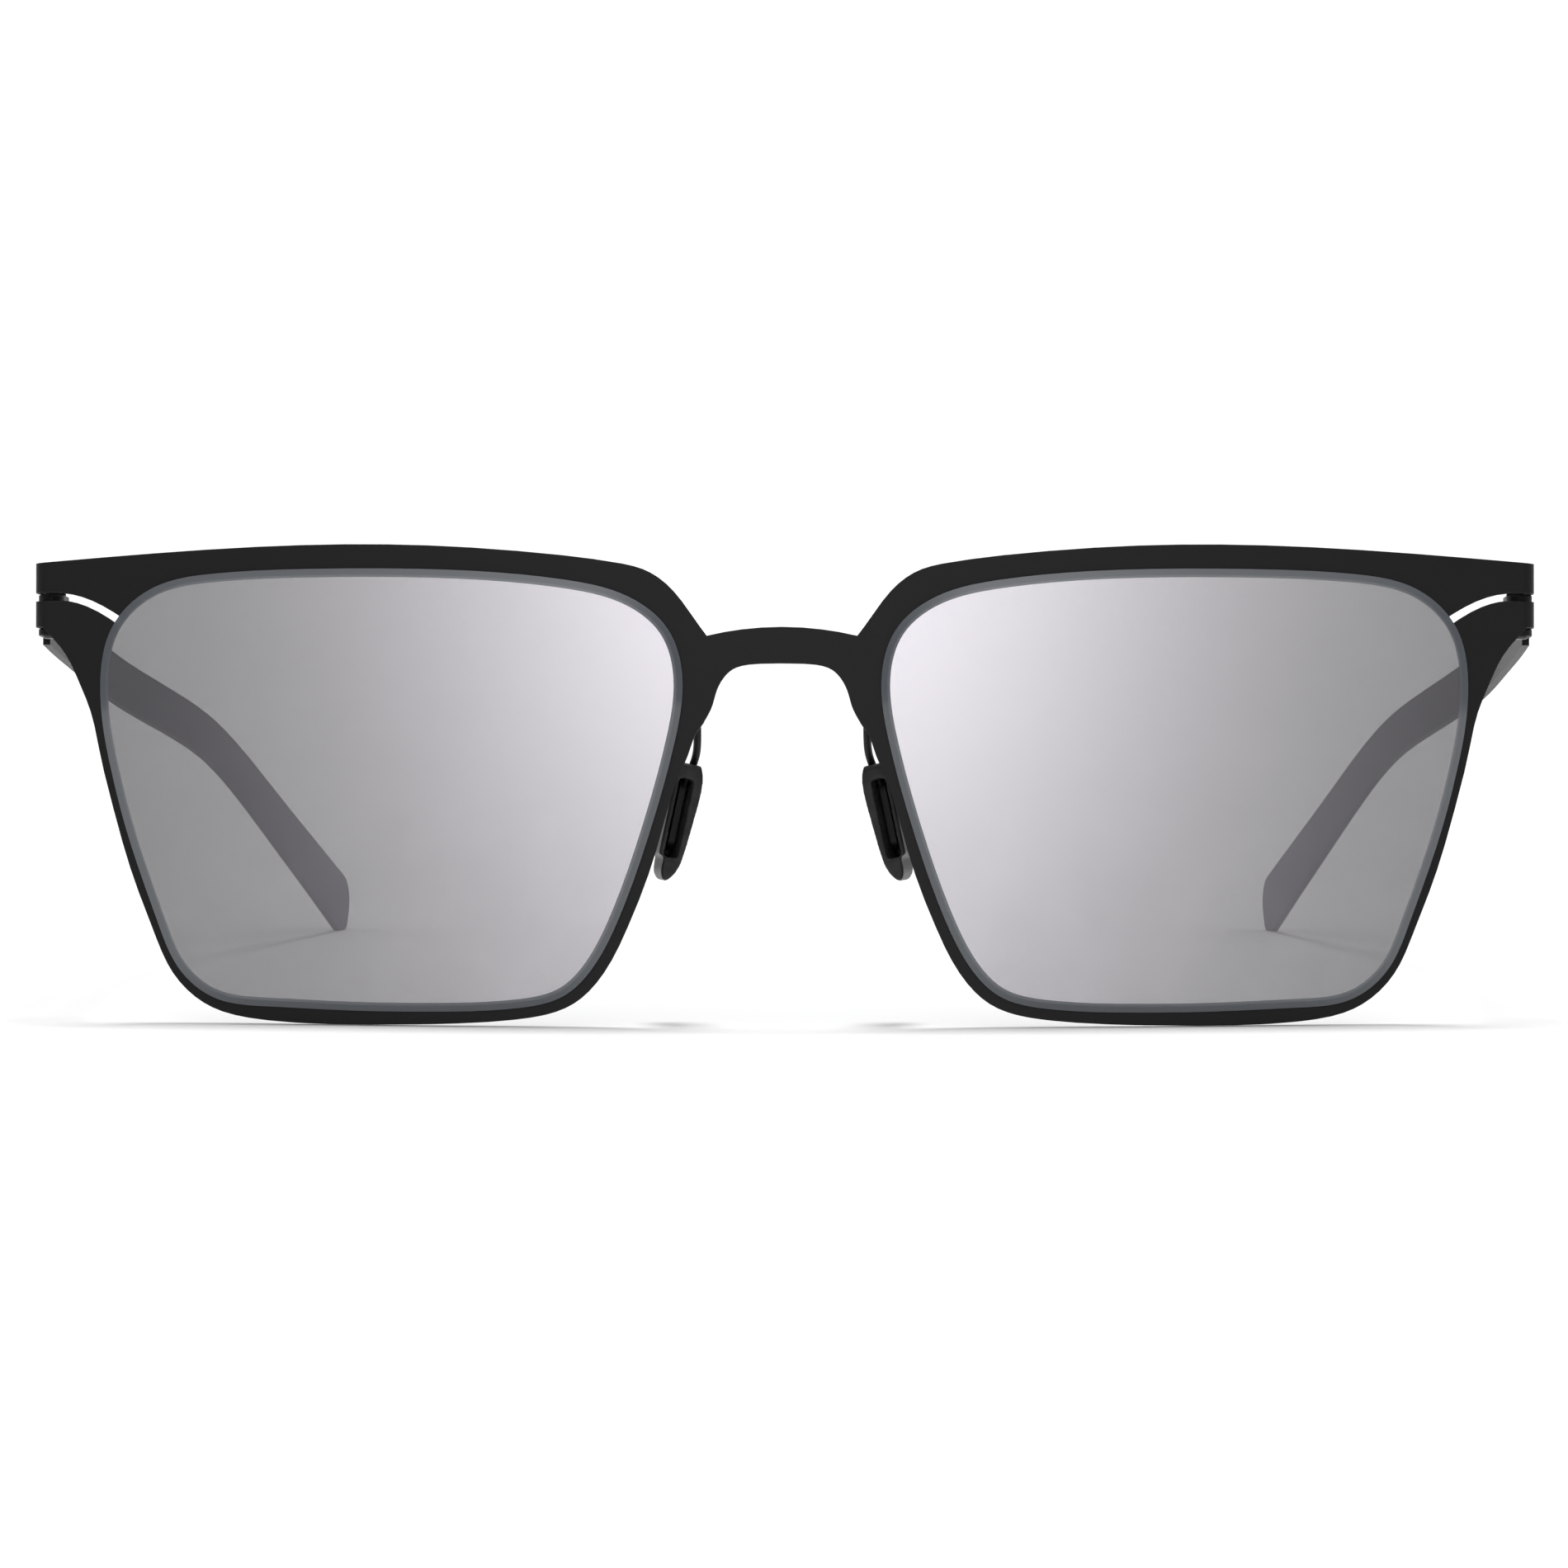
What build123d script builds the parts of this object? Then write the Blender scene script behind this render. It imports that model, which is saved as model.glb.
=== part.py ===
from build123d import *
import math
import os

os.makedirs("parts", exist_ok=True)

# Sheet-metal sunglasses: 56 mm lenses, 19 mm bridge, 148 mm temples.
# Everything is drawn upright first, in mm: +X to the right for a person who faces the glasses,
# +Y backwards along the temples, +Z up, Z = 0 at the lowest edge of the rims.
# "right" in a piece's name is that person's right. The left pieces mirror the right ones.
# At the end the whole assembly leans back until it stands on its rims and temple ends.

# --- sheet and front ---
SHEET = 0.7                 # steel sheet of the front, the pad arms and the temples
FRONT_WRAP = 300.0          # radius of the front, seen from above
HALF_WIDTH = 72.55          # centre line to the outer face of the side flange
BEND_RADIUS = 1.5           # outer radius of the bend at each end piece
REST_LEAN = 4.0             # degrees that the front leans back when it stands on a table

# --- lens ---
GROOVE_DEPTH = 0.55         # how far the sheet reaches into the lens edge
GROOVE_PLAY = 0.05          # between the sheet's edge and the bottom of the groove
LIP_FRONT = 0.65            # lens material in front of the sheet
LIP_BACK = 0.65             # lens material behind the sheet
FACE_PLAY = 0.02            # between the sheet's faces and the groove's sides
BEVEL_WIDTH = 0.85
BEVEL_DEPTH = 0.42

# --- hinge ---
BARREL_RADIUS = 1.3
HINGE_Y = 12.2
BARREL_LOW = 38.45
BARREL_HIGH = 40.95
SLIT_HIGH = 41.75           # top of the slit where it runs round the bend
LUG = 0.6                   # thickness of each temple lug
LUG_GAP = 0.1               # between a lug and the barrel or the tab above it
LUG_RADIUS = 1.25
PIN_PLAY = 0.05
HEAD_RADIUS = 0.85
HEAD_HEIGHT = 0.3
STOP_TAB = 0.35             # how far the end of the lower lug is turned down
STOP_THICK = 0.35
STOP_HALF_LENGTH = 0.9
NECK_TOP = 42.9             # the neck closes the slit when it is seen from the front
NECK_WALL = 0.6             # back wall of the neck, turned in from its outer side
NECK_WALL_REACH = 2.2

# --- nose pads ---
FOOT = 0.65                 # thickness of the pad arm's foot and carrier plate
FOOT_PLACE = (8.35, 30.4)   # middle of the foot, seen from the front
FOOT_SIZE = (1.8, 3.4)
FOOT_CORNER = 0.4
ARM_WIRE = 0.38             # radius of the pad arm's wire
WIRE_PLAY = 0.05            # round the wire where it goes through the top of the pad
PAD_TILT = 12.0             # degrees from vertical, seen from the front
PAD_SPLAY = 10.0            # degrees that the pads open towards the face
PAD_CORNER = (7.3, 3.3, 24.75)
PAD_DEPTH = 6.2
PAD_HEIGHT = 11.5
PAD_THICK = 2.75
PAD_CORNER_RADIUS = 2.4     # of the pad's outline, seen from the nose
PAD_SHOULDER = 2.6          # depth of its square front part
RECESS_LOW = (0.95, -1.0, -9.2)
RECESS_HIGH = (2.25, 4.6, -1.5)
CARRIER_X = 1.25
CARRIER_MIDDLE = (3.0, -5.0)
CARRIER_SIZE = (3.0, 7.0)
CARRIER_CORNER = 1.2
OVERSHOOT = 1.0             # how far a cutting or trimming solid runs past the piece

# --- temples ---
NECK_END = 17.0             # where the hinge neck widens into the blade
HINGE_HALF = 2.65           # half heights of the blade: at the hinge, at the waist, at its end
WAIST_HALF = 2.35
PADDLE_HALF = 3.25
WAIST_SHARE = 0.6           # share of the blade's length where it is narrowest
STATIONS = 17               # places along the blade where its height is set
END_RADIUS = 3.0            # rounding of the blade's end, above and at the table
HEEL_RADIUS = 1.5

BARREL_BORE = BARREL_RADIUS - SHEET
PIN_RADIUS = BARREL_BORE - PIN_PLAY
HINGE_X = HALF_WIDTH - BARREL_RADIUS
NECK_START = HINGE_Y + BARREL_RADIUS + 0.4
UPPER_LUG_LOW = BARREL_HIGH + LUG_GAP
LOWER_LUG_LOW = BARREL_LOW - LUG_GAP - LUG

# Lens edge, seen from the front, anticlockwise from the outer side.
LENS_EDGE = [
    (64.45, 22.7), (65.55, 27.7), (66.0, 33.0), (64.85, 38.35), (60.85, 42.1),
    (55.1, 43.4), (45.3, 43.8), (33.8, 43.7), (25.5, 43.2), (20.6, 42.6),
    (15.15, 41.2), (10.9, 37.85), (9.5, 32.7), (10.2, 27.3), (12.7, 18.2),
    (15.65, 10.0), (17.7, 6.0), (20.8, 2.8), (25.3, 1.6), (33.7, 1.25),
    (41.2, 1.35), (49.6, 1.75), (54.5, 2.5), (58.2, 5.45), (60.2, 9.7), (63.2, 18.2),
]
# Sheet outline of one half: brow, from the notch beside the bridge to the end piece.
BROW = [
    (7.2, 37.25), (9.0, 39.75), (11.0, 42.15), (13.0, 43.5), (16.0, 44.3), (24.0, 45.3),
    (34.0, 46.0), (44.0, 46.15), (60.0, 45.5), (75.0, 44.45),
]
# Lower edge: from under the end piece round the rim to the notch where the pad arm starts.
RIM = [
    (71.8, 38.45), (70.9, 37.5), (69.5, 35.8), (68.1, 33.0), (67.0, 30.3), (66.0, 26.0),
    (64.9, 21.6), (62.5, 13.65), (60.8, 9.3), (58.75, 4.95), (55.1, 1.75), (50.3, 0.5),
    (45.7, 0.12), (37.4, 0.0), (29.3, 0.2), (24.7, 0.6), (20.05, 1.95), (16.8, 5.3),
    (14.7, 9.45), (13.0, 13.7), (11.3, 19.3), (9.8, 24.0), (9.0, 25.8), (8.5, 27.3), (7.7, 28.6),
]
BRIDGE_TOP = 38.1
BRIDGE_UNDER = [
    (7.7, 28.6), (7.05, 29.7), (6.65, 30.6), (6.4, 31.5), (6.1, 32.35), (5.6, 33.2),
    (4.85, 33.95), (3.7, 34.4), (2.0, 34.57), (0.0, 34.6),
]
SLIT_UPPER = [(61.5, 37.6), (65.0, 39.95), (67.5, 41.18), (70.0, 41.72)]
SLIT_LOWER = [(70.0, 41.0), (67.5, 40.45), (65.0, 39.1), (61.5, 36.6)]

# Temple, seen from above (centre of its thickness) and from the side (centre of its height).
TEMPLE_PLAN = [(72.2, 13.0), (72.1, 42.0), (70.9, 70.0), (65.7, 98.0), (60.0, 122.0), (48.8, 170.0)]
TEMPLE_SIDE = [
    (14.0, 39.9), (30.0, 38.9), (48.0, 37.85), (66.0, 36.2), (83.0, 34.3), (96.0, 32.45),
    (104.7, 30.7), (113.4, 28.0), (127.0, 22.7), (141.0, 17.2), (153.3, 12.4),
]
BLADE_START = 0.02          # share of the side path that lies inside the neck


def front_view(face, y_low=-6.0, y_high=30.0):
    """Extrude an outline drawn in (x, z) from y_low to y_high."""
    return Pos(0, y_high, 0) * extrude(Plane.XZ * face, amount=y_high - y_low)


def wrap_shell(depth_front, depth_back):
    """The curved layer between two depths behind the front face of the sheet."""
    tall = 60.0
    outer = Cylinder(FRONT_WRAP - depth_front, tall)
    inner = Cylinder(FRONT_WRAP - depth_back, tall)
    return Pos(0, FRONT_WRAP, tall / 2 - 5.0) * (outer - inner)


def closed_outline(points):
    return make_face(Wire([Spline(*points, periodic=True)]))


def inset_outline(points, distance):
    """The same closed outline moved inwards by a distance, square to its edge."""
    edge = Spline(*points, periodic=True)
    moved = []
    for point in points:
        tangent = edge.tangent_at(Vector(*point))
        moved.append((point[0] - distance * tangent.Y, point[1] + distance * tangent.X))
    return make_face(Wire([Spline(*moved, periodic=True)]))


def wrap_point(radius, degrees):
    angle = math.radians(degrees)
    return (radius * math.sin(angle), FRONT_WRAP - radius * math.cos(angle))


def bent_strip():
    """Plan of the right half of the front: wrapped sheet, bend and side flange."""
    bend_at = math.degrees(math.asin((HALF_WIDTH - BEND_RADIUS) / (FRONT_WRAP - BEND_RADIUS)))
    centre = wrap_point(FRONT_WRAP - BEND_RADIUS, bend_at)
    middle = math.radians((bend_at + 90.0) / 2)

    def bend(radius):
        halfway = (centre[0] + radius * math.sin(middle), centre[1] - radius * math.cos(middle))
        start = wrap_point(FRONT_WRAP - BEND_RADIUS + radius, bend_at)
        return ThreePointArc(start, halfway, (centre[0] + radius, centre[1]))

    def face_arc(radius):
        middle_point = wrap_point(radius, bend_at / 2)
        return ThreePointArc((0.0, FRONT_WRAP - radius), middle_point, wrap_point(radius, bend_at))

    inner_x = HALF_WIDTH - SHEET
    edges = [
        face_arc(FRONT_WRAP),
        bend(BEND_RADIUS),
        Line((HALF_WIDTH, centre[1]), (HALF_WIDTH, HINGE_Y)),
        Line((HALF_WIDTH, HINGE_Y), (inner_x, HINGE_Y)),
        Line((inner_x, HINGE_Y), (inner_x, centre[1])),
        bend(BEND_RADIUS - SHEET),
        face_arc(FRONT_WRAP - SHEET),
        Line((0.0, SHEET), (0.0, 0.0)),
    ]
    return make_face(Wire(edges))


def half_outline():
    """Front view of the right half of the sheet, without the lens opening."""
    edges = [
        ThreePointArc((0.0, BRIDGE_TOP), (3.7, BRIDGE_TOP - 0.22), BROW[0]),
        Spline(*BROW),
        Line(BROW[-1], (BROW[-1][0], BARREL_LOW)),
        Line((BROW[-1][0], BARREL_LOW), RIM[0]),
        Spline(*RIM),
        Spline(*BRIDGE_UNDER, tangents=[(-0.5, 0.86), (-1, 0)]),
        Line(BRIDGE_UNDER[-1], (0.0, BRIDGE_TOP)),
    ]
    return make_face(Wire(edges))


def slit_outline():
    """Slit from the rim to the end piece, then straight round the bend."""
    edges = [
        Spline(*SLIT_UPPER),
        Line(SLIT_UPPER[-1], SLIT_LOWER[0]),
        Spline(*SLIT_LOWER),
        Line(SLIT_LOWER[-1], SLIT_UPPER[0]),
    ]
    round_bend = Pos(73.0, (BARREL_HIGH + SLIT_HIGH) / 2) * Rectangle(6.4, SLIT_HIGH - BARREL_HIGH)
    return make_face(Wire(edges)) + round_bend


def front_frame():
    strip = Pos(0, 0, -3.0) * extrude(bent_strip(), amount=52.0)
    half = strip & front_view(half_outline())
    half -= front_view(inset_outline(LENS_EDGE, GROOVE_DEPTH))
    half -= front_view(slit_outline())
    half += hinge_rod(BARREL_RADIUS, BARREL_LOW, BARREL_HIGH)
    half -= hinge_rod(BARREL_BORE, BARREL_LOW, BARREL_HIGH)
    return half + mirror(half, about=Plane.YZ)


def hinge_rod(radius, low, high):
    """A rod on the hinge axis between two heights."""
    rod = Cylinder(radius, high - low, align=(Align.CENTER, Align.CENTER, Align.MIN))
    return Pos(HINGE_X, HINGE_Y, low) * rod


def lens():
    """Grooved lens: front lip with its bevel, core inside the rim, back lip."""
    whole = front_view(closed_outline(LENS_EDGE))
    core = front_view(inset_outline(LENS_EDGE, GROOVE_DEPTH + GROOVE_PLAY))
    front_lip = whole & wrap_shell(-LIP_FRONT, -FACE_PLAY)
    face = front_lip.faces().sort_by(Axis.Y)[0]
    front_lip = chamfer(face.edges(), BEVEL_WIDTH, BEVEL_DEPTH, reference=face)
    middle = core & wrap_shell(-FACE_PLAY, SHEET + FACE_PLAY)
    back_lip = whole & wrap_shell(SHEET + FACE_PLAY, SHEET + LIP_BACK)
    return front_lip + middle + back_lip


def pad_frame():
    """Place of a nose pad: its corner, tilted down the nose and opened to the face."""
    tilted = Location(PAD_CORNER) * Location((0, 0, 0), (0, -PAD_TILT, 0))
    return tilted * Location((0, 0, 0), (0, 0, -PAD_SPLAY))


def side_extrude(face, x_low, x_high):
    """Extrude an outline drawn in (y, z) from x_low to x_high."""
    return Pos(x_low, 0, 0) * extrude(Plane.YZ * face, amount=x_high - x_low)


def block(low, high):
    """A box between two opposite corners."""
    size = [b - a for a, b in zip(low, high)]
    return Pos(*low) * Box(*size, align=(Align.MIN, Align.MIN, Align.MIN))


def ribbon(path, half_widths):
    """Closed outline of even or changing width along a path drawn in 2-D."""
    left = []
    right = []
    last = len(half_widths) - 1
    for index, half in enumerate(half_widths):
        centre = path @ (index / last)
        along = path % (index / last)
        left.append((centre.X - half * along.Y, centre.Y + half * along.X))
        right.append((centre.X + half * along.Y, centre.Y - half * along.X))
    edges = [Spline(*left), Line(left[-1], right[-1]), Spline(*reversed(right)), Line(right[0], left[0])]
    return make_face(Wire(edges))


def in_pad(*point):
    """A point given in the pad's own frame."""
    return (pad_frame() * Location(point)).position


def arm_wire(radius):
    """The pad arm's wire, from its foot down through the top of the pad to the carrier plate."""
    route = Spline(
        (8.25, 1.4, 31.2), (8.15, 1.6, 29.2), (8.15, 2.6, 27.4), (8.3, 3.8, 26.0),
        in_pad(1.1, 1.5, 0.0), in_pad(1.5, 1.9, -2.6),
    )
    return sweep(Plane(route @ 0, z_dir=route % 0) * Circle(radius), route)


def pad_arm():
    """Foot on the back of the sheet, wire down into the pad, and the carrier plate inside it."""
    foot = front_view(Pos(*FOOT_PLACE) * RectangleRounded(*FOOT_SIZE, FOOT_CORNER))
    foot &= wrap_shell(SHEET, SHEET + FOOT)
    plate = Pos(*CARRIER_MIDDLE) * RectangleRounded(*CARRIER_SIZE, CARRIER_CORNER)
    carrier = side_extrude(plate, CARRIER_X, CARRIER_X + FOOT)
    return foot + arm_wire(ARM_WIRE) + pad_frame() * carrier


def nose_pad():
    """Silicone pad that pushes over the carrier plate, open towards the front."""
    front_edges = [
        Spline((0.45, 0.0), (0.1, -1.0), (0.0, -4.2), (0.3, -8.4), (0.75, -10.5), (1.5, -11.5)),
        Spline((1.5, -11.5), (2.05, -11.1), (2.2, -9.2), tangents=[(1, 0), (0, 1)]),
        Line((2.2, -9.2), (PAD_THICK, -9.1)),
        Line((PAD_THICK, -9.1), (PAD_THICK, -0.3)),
        Line((PAD_THICK, -0.3), (PAD_THICK - 0.3, 0.0)),
        Line((PAD_THICK - 0.3, 0.0), (0.45, 0.0)),
    ]
    body = front_view(make_face(Wire(front_edges)), 0.0, PAD_DEPTH)
    half = -PAD_HEIGHT / 2
    side = Pos(PAD_DEPTH / 2, half) * RectangleRounded(PAD_DEPTH, PAD_HEIGHT, PAD_CORNER_RADIUS)
    side += Pos(PAD_SHOULDER / 2, half) * RectangleRounded(PAD_SHOULDER, PAD_HEIGHT, FOOT_CORNER)
    body &= side_extrude(side, -OVERSHOOT, PAD_THICK + OVERSHOOT)
    body -= block(RECESS_LOW, RECESS_HIGH)
    return pad_frame() * body - arm_wire(ARM_WIRE + WIRE_PLAY)


def half_height(share):
    """Half the blade's height: a slight taper to its waist, then a widening paddle."""
    taper = min(share / WAIST_SHARE, 1.0)
    widening = max(0.0, (share - WAIST_SHARE) / (1.0 - WAIST_SHARE))
    return HINGE_HALF + (WAIST_HALF - HINGE_HALF) * taper + (PADDLE_HALF - WAIST_HALF) * widening ** 1.8


def blade_profile(table_height):
    """Side view of the blade, cut flat where it rests on the table, with a rounded end."""
    path = Spline(*TEMPLE_SIDE).trim(BLADE_START, 1.0)
    shares = [index / (STATIONS - 1) for index in range(STATIONS)]
    profile = ribbon(path, [half_height(share) for share in shares])
    table = Pos(100.0, table_height - 20.0) * Rectangle(300.0, 40.0)
    profile -= Rot(0, 0, REST_LEAN) * table
    corners = profile.vertices().sort_by(Axis.X)
    profile = fillet(corners[-1], END_RADIUS)
    corners = profile.vertices().sort_by(Axis.Y)
    heel = corners[:2].sort_by(Axis.X)
    return fillet(heel[-1], HEEL_RADIUS)


def follow_temple(profile, thickness):
    """Solid that has this side view and runs along the temple's plan."""
    strip = ribbon(Spline(*TEMPLE_PLAN), [thickness / 2] * len(TEMPLE_PLAN))
    tall = extrude(Pos(0, 0, -10.0) * strip, amount=70.0)
    return tall & side_extrude(profile, 40.0, 80.0)


def lug(low):
    """Flat lug turned in from the neck's edge, round about the hinge axis."""
    outline = Pos(HINGE_X, HINGE_Y) * Circle(LUG_RADIUS)
    reach = HALF_WIDTH - HINGE_X + LUG_RADIUS
    back = NECK_END - NECK_WALL
    outline += Pos(HALF_WIDTH - reach / 2, (NECK_START + back) / 2) * Rectangle(reach, back - NECK_START)
    web = NECK_START - HINGE_Y
    outline += Pos(HINGE_X, HINGE_Y + web / 2) * Rectangle(2 * LUG_RADIUS, web)
    return Pos(0, 0, low) * extrude(outline, amount=LUG)


def temple(table_height):
    """Steel blade with its hinge neck and two lugs."""
    blade = follow_temple(blade_profile(table_height), SHEET)
    neck = block((HALF_WIDTH - SHEET, NECK_START, LOWER_LUG_LOW), (HALF_WIDTH, NECK_END, NECK_TOP))
    wall = block(
        (HALF_WIDTH - NECK_WALL_REACH, NECK_END - NECK_WALL, UPPER_LUG_LOW),
        (HALF_WIDTH, NECK_END, NECK_TOP),
    )
    stop_x = HINGE_X - LUG_RADIUS
    stop = block(
        (stop_x, HINGE_Y - STOP_HALF_LENGTH / 2, LOWER_LUG_LOW - STOP_TAB),
        (stop_x + STOP_THICK, HINGE_Y + STOP_HALF_LENGTH, LOWER_LUG_LOW + LUG),
    )
    piece = blade + neck + wall + lug(UPPER_LUG_LOW) + lug(LOWER_LUG_LOW) + stop
    return piece - hinge_rod(PIN_RADIUS, LOWER_LUG_LOW - OVERSHOOT, UPPER_LUG_LOW + LUG + OVERSHOOT)


def hinge_pin():
    """Riveted pin: flush in the upper lug, domed head under the lower one."""
    head = hinge_rod(HEAD_RADIUS, LOWER_LUG_LOW - HEAD_HEIGHT, LOWER_LUG_LOW)
    head = fillet(head.edges().sort_by(Axis.Z)[0], HEAD_HEIGHT - 0.05)
    return head + hinge_rod(PIN_RADIUS, LOWER_LUG_LOW, UPPER_LUG_LOW + LUG)


def build():
    """Every piece in its standing place, by node name, and the move that put it there."""
    frame = front_frame()
    table_height = (Rotation(-REST_LEAN, 0, 0) * frame).bounding_box().min.Z
    right_pieces = {
        "lens": lens(),
        "pad_arm": pad_arm(),
        "nose_pad": nose_pad(),
        "temple": temple(table_height),
        "hinge_pin": hinge_pin(),
    }
    upright = {"front_frame": frame}
    for name, piece in right_pieces.items():
        upright[name + "_right"] = piece
        upright[name + "_left"] = mirror(piece, about=Plane.YZ)
    leaned = {name: Rotation(-REST_LEAN, 0, 0) * piece for name, piece in upright.items()}
    whole = Compound(list(leaned.values())).bounding_box()
    stand = Pos(0, -(whole.min.Y + whole.max.Y) / 2, -table_height)
    move = stand * Rotation(-REST_LEAN, 0, 0)
    return {name: stand * piece for name, piece in leaned.items()}, move


pieces, standing_move = build()
for node, piece in pieces.items():
    export_step(piece, f"parts/{node}.step")
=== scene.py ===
from math import radians

import bpy
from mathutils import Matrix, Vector


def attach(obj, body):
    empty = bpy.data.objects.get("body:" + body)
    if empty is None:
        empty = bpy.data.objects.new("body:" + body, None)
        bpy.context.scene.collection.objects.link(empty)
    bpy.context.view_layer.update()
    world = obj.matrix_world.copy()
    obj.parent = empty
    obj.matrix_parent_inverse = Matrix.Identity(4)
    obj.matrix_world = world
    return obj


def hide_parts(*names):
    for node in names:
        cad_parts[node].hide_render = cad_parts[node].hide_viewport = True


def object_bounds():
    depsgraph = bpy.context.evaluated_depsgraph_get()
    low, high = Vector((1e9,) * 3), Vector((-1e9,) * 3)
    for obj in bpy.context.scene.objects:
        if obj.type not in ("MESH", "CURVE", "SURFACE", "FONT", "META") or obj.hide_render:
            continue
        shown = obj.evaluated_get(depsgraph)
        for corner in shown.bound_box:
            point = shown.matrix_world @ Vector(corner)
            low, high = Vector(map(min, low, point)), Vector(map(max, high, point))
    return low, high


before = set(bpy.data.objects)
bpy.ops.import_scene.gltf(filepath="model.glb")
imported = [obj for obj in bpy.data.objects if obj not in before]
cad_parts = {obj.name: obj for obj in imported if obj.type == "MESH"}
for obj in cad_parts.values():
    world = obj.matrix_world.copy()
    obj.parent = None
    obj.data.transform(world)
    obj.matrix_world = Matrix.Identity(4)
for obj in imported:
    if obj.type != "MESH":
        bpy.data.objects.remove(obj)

# The looks of a pair of wrapped sheet-metal sunglasses that stand open on a table.
# Metres throughout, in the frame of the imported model: +X is the wearer's left, +Y points backwards.

MM = 0.001
CAD_LOW, CAD_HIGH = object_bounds()

# ---------------------------------------------------------------- shader helpers


def new_shader(name):
    """A new material's node tree and its main shader."""
    material = bpy.data.materials.new(name)
    material.use_nodes = True
    return material, material.node_tree, material.node_tree.nodes["Principled BSDF"]


def node(tree, kind, **settings):
    """A node of that kind with its settings filled in."""
    made = tree.nodes.new(kind)
    for key, value in settings.items():
        setattr(made, key, value)
    return made


def fill(made, **values):
    """Sets sockets of a node by name, with underscores for spaces."""
    for key, value in values.items():
        made.inputs[key.replace("_", " ")].default_value = value
    return made


def place_in_mm(tree):
    """The point on the object, in millimetres."""
    where = node(tree, "ShaderNodeTexCoord")
    scaled = node(tree, "ShaderNodeVectorMath", operation="SCALE")
    scaled.inputs["Scale"].default_value = 1 / MM
    tree.links.new(where.outputs["Object"], scaled.inputs[0])
    return scaled.outputs[0]


def noise(tree, where, per_mm, detail=3.0, stretch=None):
    """A noise of that many grains per millimetre, from 0 to 1."""
    if stretch is not None:
        pulled = node(tree, "ShaderNodeVectorMath", operation="MULTIPLY")
        pulled.inputs[1].default_value = stretch
        tree.links.new(where, pulled.inputs[0])
        where = pulled.outputs[0]
    made = fill(node(tree, "ShaderNodeTexNoise"), Scale=per_mm, Detail=detail)
    tree.links.new(where, made.inputs["Vector"])
    return made.outputs["Fac"]


def spread(tree, value, low, high, to_low, to_high, smooth=False):
    """Maps low..high onto to_low..to_high."""
    made = node(tree, "ShaderNodeMapRange")
    if smooth:
        made.interpolation_type = "SMOOTHSTEP"
    fill(made, From_Min=low, From_Max=high, To_Min=to_low, To_Max=to_high)
    tree.links.new(value, made.inputs["Value"])
    return made.outputs["Result"]


def combine(tree, operation, first, second):
    """One sum on two values, each a socket or a number."""
    made = node(tree, "ShaderNodeMath", operation=operation)
    for socket, value in zip(made.inputs, (first, second)):
        if isinstance(value, (int, float)):
            socket.default_value = value
        else:
            tree.links.new(value, socket)
    return made.outputs[0]


def mix_colour(tree, share, first, second):
    """A colour between first and second; either may be a socket or three numbers."""
    made = node(tree, "ShaderNodeMix", data_type="RGBA")
    tree.links.new(share, made.inputs["Factor"])
    for socket, colour in ((made.inputs[6], first), (made.inputs[7], second)):
        if isinstance(colour, tuple):
            socket.default_value = (*colour, 1)
        else:
            tree.links.new(colour, socket)
    return made.outputs[2]


def bump(tree, height, depth_mm, strength, under=None):
    """A normal roughened by a height of that depth, over another normal where one is given."""
    made = fill(node(tree, "ShaderNodeBump"), Strength=strength, Distance=depth_mm * MM)
    tree.links.new(height, made.inputs["Height"])
    if under is not None:
        tree.links.new(under, made.inputs["Normal"])
    return made.outputs[0]


def rounded_normal(tree, radius_mm):
    """The normal of the surface as if its edges were rounded to that radius."""
    return fill(node(tree, "ShaderNodeBevel", samples=6), Radius=radius_mm * MM).outputs[0]


def edge_share(tree, rounded, start, full):
    """1 on a sharp edge and 0 on a flat, from how far a rounded normal leaves the true one."""
    true = node(tree, "ShaderNodeNewGeometry")
    agree = node(tree, "ShaderNodeVectorMath", operation="DOT_PRODUCT")
    tree.links.new(rounded, agree.inputs[0])
    tree.links.new(true.outputs["Normal"], agree.inputs[1])
    return spread(tree, agree.outputs["Value"], start, full, 0, 1)


# ---------------------------------------------------------------- materials


def coated_metal(name, colour, worn, roughness):
    """Black coated sheet: a fine powder grain, a faint mottle, and edges rubbed a little paler."""
    material, tree, shader = new_shader(name)
    where = place_in_mm(tree)
    grain = noise(tree, where, 14.0, 2.0)
    mottle = noise(tree, where, 0.35, 4.0)
    rounded = rounded_normal(tree, 0.14)
    edge = edge_share(tree, rounded, 0.985, 0.82)
    rubbed = combine(tree, "MULTIPLY", edge, spread(tree, mottle, 0.42, 0.62, 0.25, 1.0))
    darker = tuple(part * 0.75 for part in colour)
    base = mix_colour(tree, mottle, darker, colour)
    tree.links.new(mix_colour(tree, rubbed, base, worn), shader.inputs["Base Color"])
    speckle = spread(tree, grain, 0.3, 0.7, roughness - 0.05, roughness + 0.07)
    smoothed = combine(tree, "SUBTRACT", speckle, combine(tree, "MULTIPLY", rubbed, 0.12))
    tree.links.new(smoothed, shader.inputs["Roughness"])
    tree.links.new(bump(tree, grain, 0.02, 0.25, rounded), shader.inputs["Normal"])
    fill(shader, Specular_IOR_Level=0.25)
    return material


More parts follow.
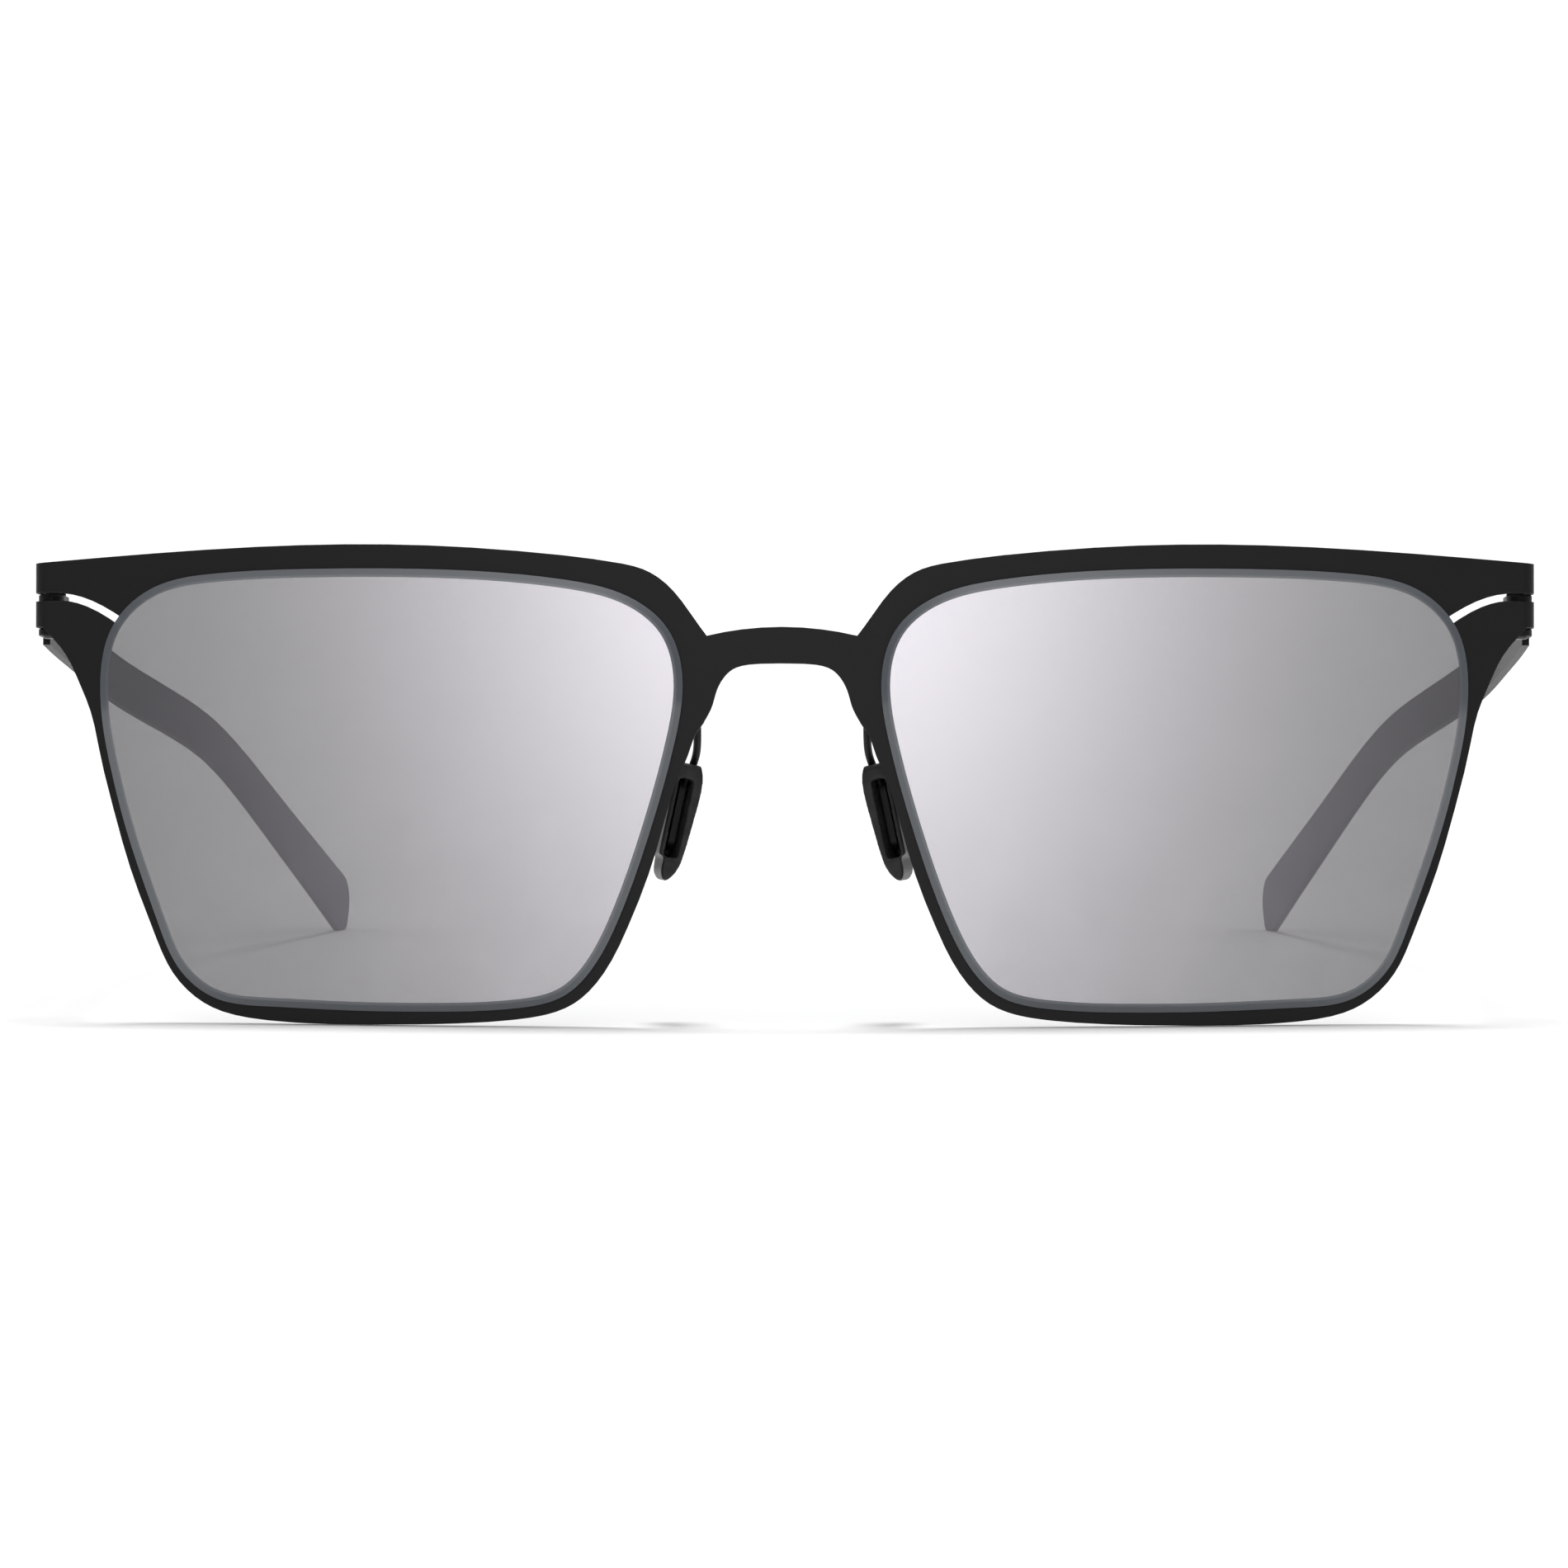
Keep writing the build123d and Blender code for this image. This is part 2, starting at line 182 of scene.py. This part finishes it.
def dark_steel(name):
    """The hinge pins: dark satin steel with turning marks round them."""
    material, tree, shader = new_shader(name)
    where = place_in_mm(tree)
    rings = noise(tree, where, 3.0, 2.0, (0.3, 0.3, 9.0))
    steel = mix_colour(tree, rings, (0.035, 0.035, 0.037), (0.09, 0.09, 0.092))
    tree.links.new(steel, shader.inputs["Base Color"])
    tree.links.new(spread(tree, rings, 0.3, 0.7, 0.28, 0.42), shader.inputs["Roughness"])
    turned = bump(tree, rings, 0.01, 0.2, rounded_normal(tree, 0.08))
    tree.links.new(turned, shader.inputs["Normal"])
    fill(shader, Metallic=0.85)
    return material


def soft_silicone(name, colour, dusty, roughness):
    """Black silicone: a skin grain, a faint bloom of dust, and rounded edges."""
    material, tree, shader = new_shader(name)
    where = place_in_mm(tree)
    grain = noise(tree, where, 6.0, 3.0)
    bloom = noise(tree, where, 0.5, 5.0)
    dust = spread(tree, bloom, 0.45, 0.75, 0.0, 0.8)
    tree.links.new(mix_colour(tree, dust, colour, dusty), shader.inputs["Base Color"])
    skin = spread(tree, grain, 0.3, 0.7, roughness - 0.06, roughness + 0.08)
    tree.links.new(skin, shader.inputs["Roughness"])
    skin_normal = bump(tree, grain, 0.015, 0.3, rounded_normal(tree, 0.2))
    tree.links.new(skin_normal, shader.inputs["Normal"])
    fill(shader, Specular_IOR_Level=0.28, Sheen_Weight=0.04, Sheen_Roughness=0.4)
    return material


# The lens, in millimetres and degrees, and how much of the light each of its faces holds back.
WRAP_RADIUS = 300.0
LEAN = 4.0
LEAN_SHIFT = 0.33           # with the lean undone, the bridge's middle is this far ahead of the box
FRONT_FACE_Y = -CAD_LOW.y / MM + LEAN_SHIFT
FILM_FROM = 0.955           # a face this square to the wrap starts to count as a lens face
FILM_FULL = 0.975
FILM_ALPHA = 0.635
BEVEL_ALPHA = 0.93
BACK_ALPHA = 0.48


def lens_facing(tree, where):
    """How squarely a point of the lens faces out of the wrap: 1 in front, -1 behind."""
    upright = node(tree, "ShaderNodeVectorRotate", rotation_type="X_AXIS")
    upright.inputs["Angle"].default_value = radians(LEAN)
    tree.links.new(where, upright.inputs["Vector"])
    offset = node(tree, "ShaderNodeVectorMath", operation="MULTIPLY_ADD")
    offset.inputs[1].default_value = (1, 1, 0)
    offset.inputs[2].default_value = (0, FRONT_FACE_Y - WRAP_RADIUS, 0)
    tree.links.new(upright.outputs[0], offset.inputs[0])
    outward = node(tree, "ShaderNodeVectorMath", operation="NORMALIZE")
    tree.links.new(offset.outputs[0], outward.inputs[0])
    true = node(tree, "ShaderNodeNewGeometry")
    turned = node(tree, "ShaderNodeVectorRotate", rotation_type="X_AXIS")
    turned.inputs["Angle"].default_value = radians(LEAN)
    tree.links.new(true.outputs["True Normal"], turned.inputs["Vector"])
    facing = node(tree, "ShaderNodeVectorMath", operation="DOT_PRODUCT")
    tree.links.new(outward.outputs[0], facing.inputs[0])
    tree.links.new(turned.outputs[0], facing.inputs[1])
    # A face met from inside reports its normal turned round, so it is turned back here.
    side = spread(tree, true.outputs["Backfacing"], 0, 1, 1, -1)
    return combine(tree, "MULTIPLY", facing.outputs["Value"], side)


def mirror_lens(name):
    """Grey glass with a silver mirror film on its outer face only; the bevel round it stays bare."""
    material, tree, shader = new_shader(name)
    where = place_in_mm(tree)
    facing = lens_facing(tree, where)
    film = spread(tree, facing, FILM_FROM, FILM_FULL, 0, 1)
    back = spread(tree, facing, -FILM_FROM, -FILM_FULL, 0, 1)
    haze = noise(tree, where, 0.12, 3.0)
    dust = spread(tree, noise(tree, where, 2.2, 6.0), 0.6, 0.8, 0.0, 1.0)
    silver = mix_colour(tree, haze, (0.765, 0.725, 0.785), (0.815, 0.775, 0.84))
    bare = mix_colour(tree, back, (0.1, 0.108, 0.12), (0.03, 0.04, 0.06))
    tree.links.new(mix_colour(tree, film, bare, silver), shader.inputs["Base Color"])
    tree.links.new(film, shader.inputs["Metallic"])
    smooth = spread(tree, haze, 0.3, 0.7, 0.07, 0.1)
    glaze = combine(tree, "ADD", smooth, combine(tree, "MULTIPLY", dust, 0.05))
    tree.links.new(glaze, shader.inputs["Roughness"])
    bare_alpha = spread(tree, back, 0, 1, BEVEL_ALPHA, BACK_ALPHA)
    bare_share = combine(tree, "MULTIPLY", combine(tree, "SUBTRACT", 1.0, film), bare_alpha)
    alpha = combine(tree, "ADD", combine(tree, "MULTIPLY", film, FILM_ALPHA), bare_share)
    tree.links.new(alpha, shader.inputs["Alpha"])
    return material


def paint(nodes, material):
    """Gives CAD nodes a material through their slots."""
    for name in nodes:
        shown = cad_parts[name]
        if not shown.material_slots:
            shown.data.materials.append(material)
        for place in shown.material_slots:
            place.material = material


PAD_VOXEL = 0.15            # mm, size of the even mesh that the pads are smoothed on
PAD_SMOOTHINGS = 8


def settle(piece):
    """Bakes a piece's modifiers into its mesh."""
    seen = piece.evaluated_get(bpy.context.evaluated_depsgraph_get())
    baked = bpy.data.meshes.new_from_object(seen)
    piece.modifiers.clear()
    piece.data = baked
    baked.polygons.foreach_set("use_smooth", [True] * len(baked.polygons))


def moulded_pad(side, material):
    """A silicone pad with the soft, rounded edges of a moulded part, in place of the CAD solid."""
    plain = "nose_pad_" + side
    pad = bpy.data.objects.new("soft_pad_" + side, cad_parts[plain].data.copy())
    bpy.context.scene.collection.objects.link(pad)
    even = pad.modifiers.new("even", "REMESH")
    even.mode = "VOXEL"
    even.voxel_size = PAD_VOXEL * MM
    soften = pad.modifiers.new("soften", "SMOOTH")
    soften.factor = 0.5
    soften.iterations = PAD_SMOOTHINGS
    settle(pad)
    pad.data.materials.clear()
    pad.data.materials.append(material)
    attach(pad, "front")
    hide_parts(plain)


def both(stem):
    """The left and right node of a pair."""
    return [stem + "_left", stem + "_right"]


# ---------------------------------------------------------------- set


TABLE_HALF = 6.0            # metres
TABLE_GAP = 0.02            # mm between the table and the glasses, so that no faces coincide
BACKDROP = 1.1              # brightness of the white all round, for the camera
FILL_LIGHT = 0.68           # and for the light that it throws on things
WINDOW_SPREAD = 0.2         # how fast the window in the reflections fades sideways
WINDOW = 1.52
DIM_ROOM = 0.07


def white_table():
    """A wide plain white table top under the glasses."""
    half = TABLE_HALF
    mesh = bpy.data.meshes.new("table_top")
    corners = [(-half, -half, 0), (half, -half, 0), (half, half, 0), (-half, half, 0)]
    mesh.from_pydata(corners, [], [(0, 1, 2, 3)])
    table = bpy.data.objects.new("table_top", mesh)
    table.location.z = CAD_LOW.z - TABLE_GAP * MM
    bpy.context.scene.collection.objects.link(table)
    material, tree, shader = new_shader("white_table")
    where = place_in_mm(tree)
    faint = noise(tree, where, 0.02, 2.0)
    white = mix_colour(tree, faint, (0.9, 0.9, 0.9), (0.93, 0.93, 0.93))
    tree.links.new(white, shader.inputs["Base Color"])
    fill(shader, Roughness=0.9, Specular_IOR_Level=0.0)
    mesh.materials.append(material)


def soft_sky():
    """White all round, for the camera and the fill. Reflections see a tall window behind the camera."""
    world = bpy.data.worlds.new("soft_sky")
    bpy.context.scene.world = world
    world.use_nodes = True
    tree = world.node_tree
    background = tree.nodes["Background"]
    direction = node(tree, "ShaderNodeTexCoord")
    parts = node(tree, "ShaderNodeSeparateXYZ")
    tree.links.new(direction.outputs["Generated"], parts.inputs[0])
    sideways = combine(tree, "DIVIDE", parts.outputs["X"], WINDOW_SPREAD)
    fade = combine(tree, "MULTIPLY", combine(tree, "MULTIPLY", sideways, sideways), -0.5)
    across = combine(tree, "EXPONENT", fade, 0)
    upwards = spread(tree, parts.outputs["Z"], 0.055, 0.125, 0.3, 1.0, smooth=True)
    ahead = spread(tree, parts.outputs["Y"], 0.0, -0.5, 0.0, 1.0, smooth=True)
    window = combine(tree, "MULTIPLY", combine(tree, "MULTIPLY", across, upwards), ahead)
    overhead = spread(tree, parts.outputs["Z"], 0.3, 0.95, 0.0, 0.75, smooth=True)
    behind = spread(tree, parts.outputs["Y"], 0.1, 0.9, 0.0, 0.45, smooth=True)
    room = combine(tree, "ADD", combine(tree, "ADD", overhead, behind), DIM_ROOM)
    seen = combine(tree, "ADD", combine(tree, "MULTIPLY", window, WINDOW), room)
    path = node(tree, "ShaderNodeLightPath")
    plain = spread(tree, path.outputs["Is Diffuse Ray"], 0, 1, BACKDROP, FILL_LIGHT)
    level = node(tree, "ShaderNodeMix", data_type="FLOAT")
    tree.links.new(path.outputs["Is Glossy Ray"], level.inputs["Factor"])
    tree.links.new(plain, level.inputs[2])
    tree.links.new(seen, level.inputs[3])
    tree.links.new(level.outputs[0], background.inputs["Strength"])
    background.inputs["Color"].default_value = (1, 1, 1, 1)


def overhead_light(behind, softness, strength):
    """A soft light from above, tilted a few degrees from behind, even over the whole table."""
    data = bpy.data.lights.new("overhead", "SUN")
    data.angle = radians(softness)
    data.energy = strength
    lamp = bpy.data.objects.new("overhead", data)
    lamp.rotation_euler = (radians(-behind), 0, 0)
    bpy.context.scene.collection.objects.link(lamp)


CAMERA_ASIDE = 14.2         # mm to the wearer's left of the middle
CAMERA_AHEAD = 800.2        # mm in front of the glasses
CAMERA_UP = 58.67           # mm above the table
CAMERA_TURN = 1.0           # degrees
CAMERA_PITCH = 2.53
FOCAL_LENGTH = 192.7


def portrait_camera():
    """A long lens a little above the glasses and almost straight ahead of them."""
    data = bpy.data.cameras.new("camera")
    data.lens = FOCAL_LENGTH
    data.sensor_width = 36
    data.clip_start = 0.05
    data.clip_end = 50
    camera = bpy.data.objects.new("camera", data)
    camera.location = Vector((CAMERA_ASIDE, CAD_LOW.y / MM - CAMERA_AHEAD, CAMERA_UP)) * MM
    camera.rotation_euler = (radians(90 - CAMERA_PITCH), 0, radians(CAMERA_TURN))
    bpy.context.scene.collection.objects.link(camera)
    bpy.context.scene.camera = camera


# ---------------------------------------------------------------- put together

frame_black = coated_metal("frame_black", (0.0055, 0.0055, 0.0058), (0.03, 0.03, 0.03), 0.44)
paint(["front_frame"] + both("temple") + both("pad_arm"), frame_black)
paint(both("lens"), mirror_lens("mirror_lens"))
silicone = soft_silicone("pad_silicone", (0.012, 0.012, 0.012), (0.03, 0.03, 0.03), 0.38)
for side in ("left", "right"):
    moulded_pad(side, silicone)
paint(both("hinge_pin"), dark_steel("pin_steel"))

white_table()
soft_sky()
overhead_light(behind=11.0, softness=14.0, strength=1.62)
portrait_camera()
bpy.context.scene.view_settings.view_transform = "Standard"
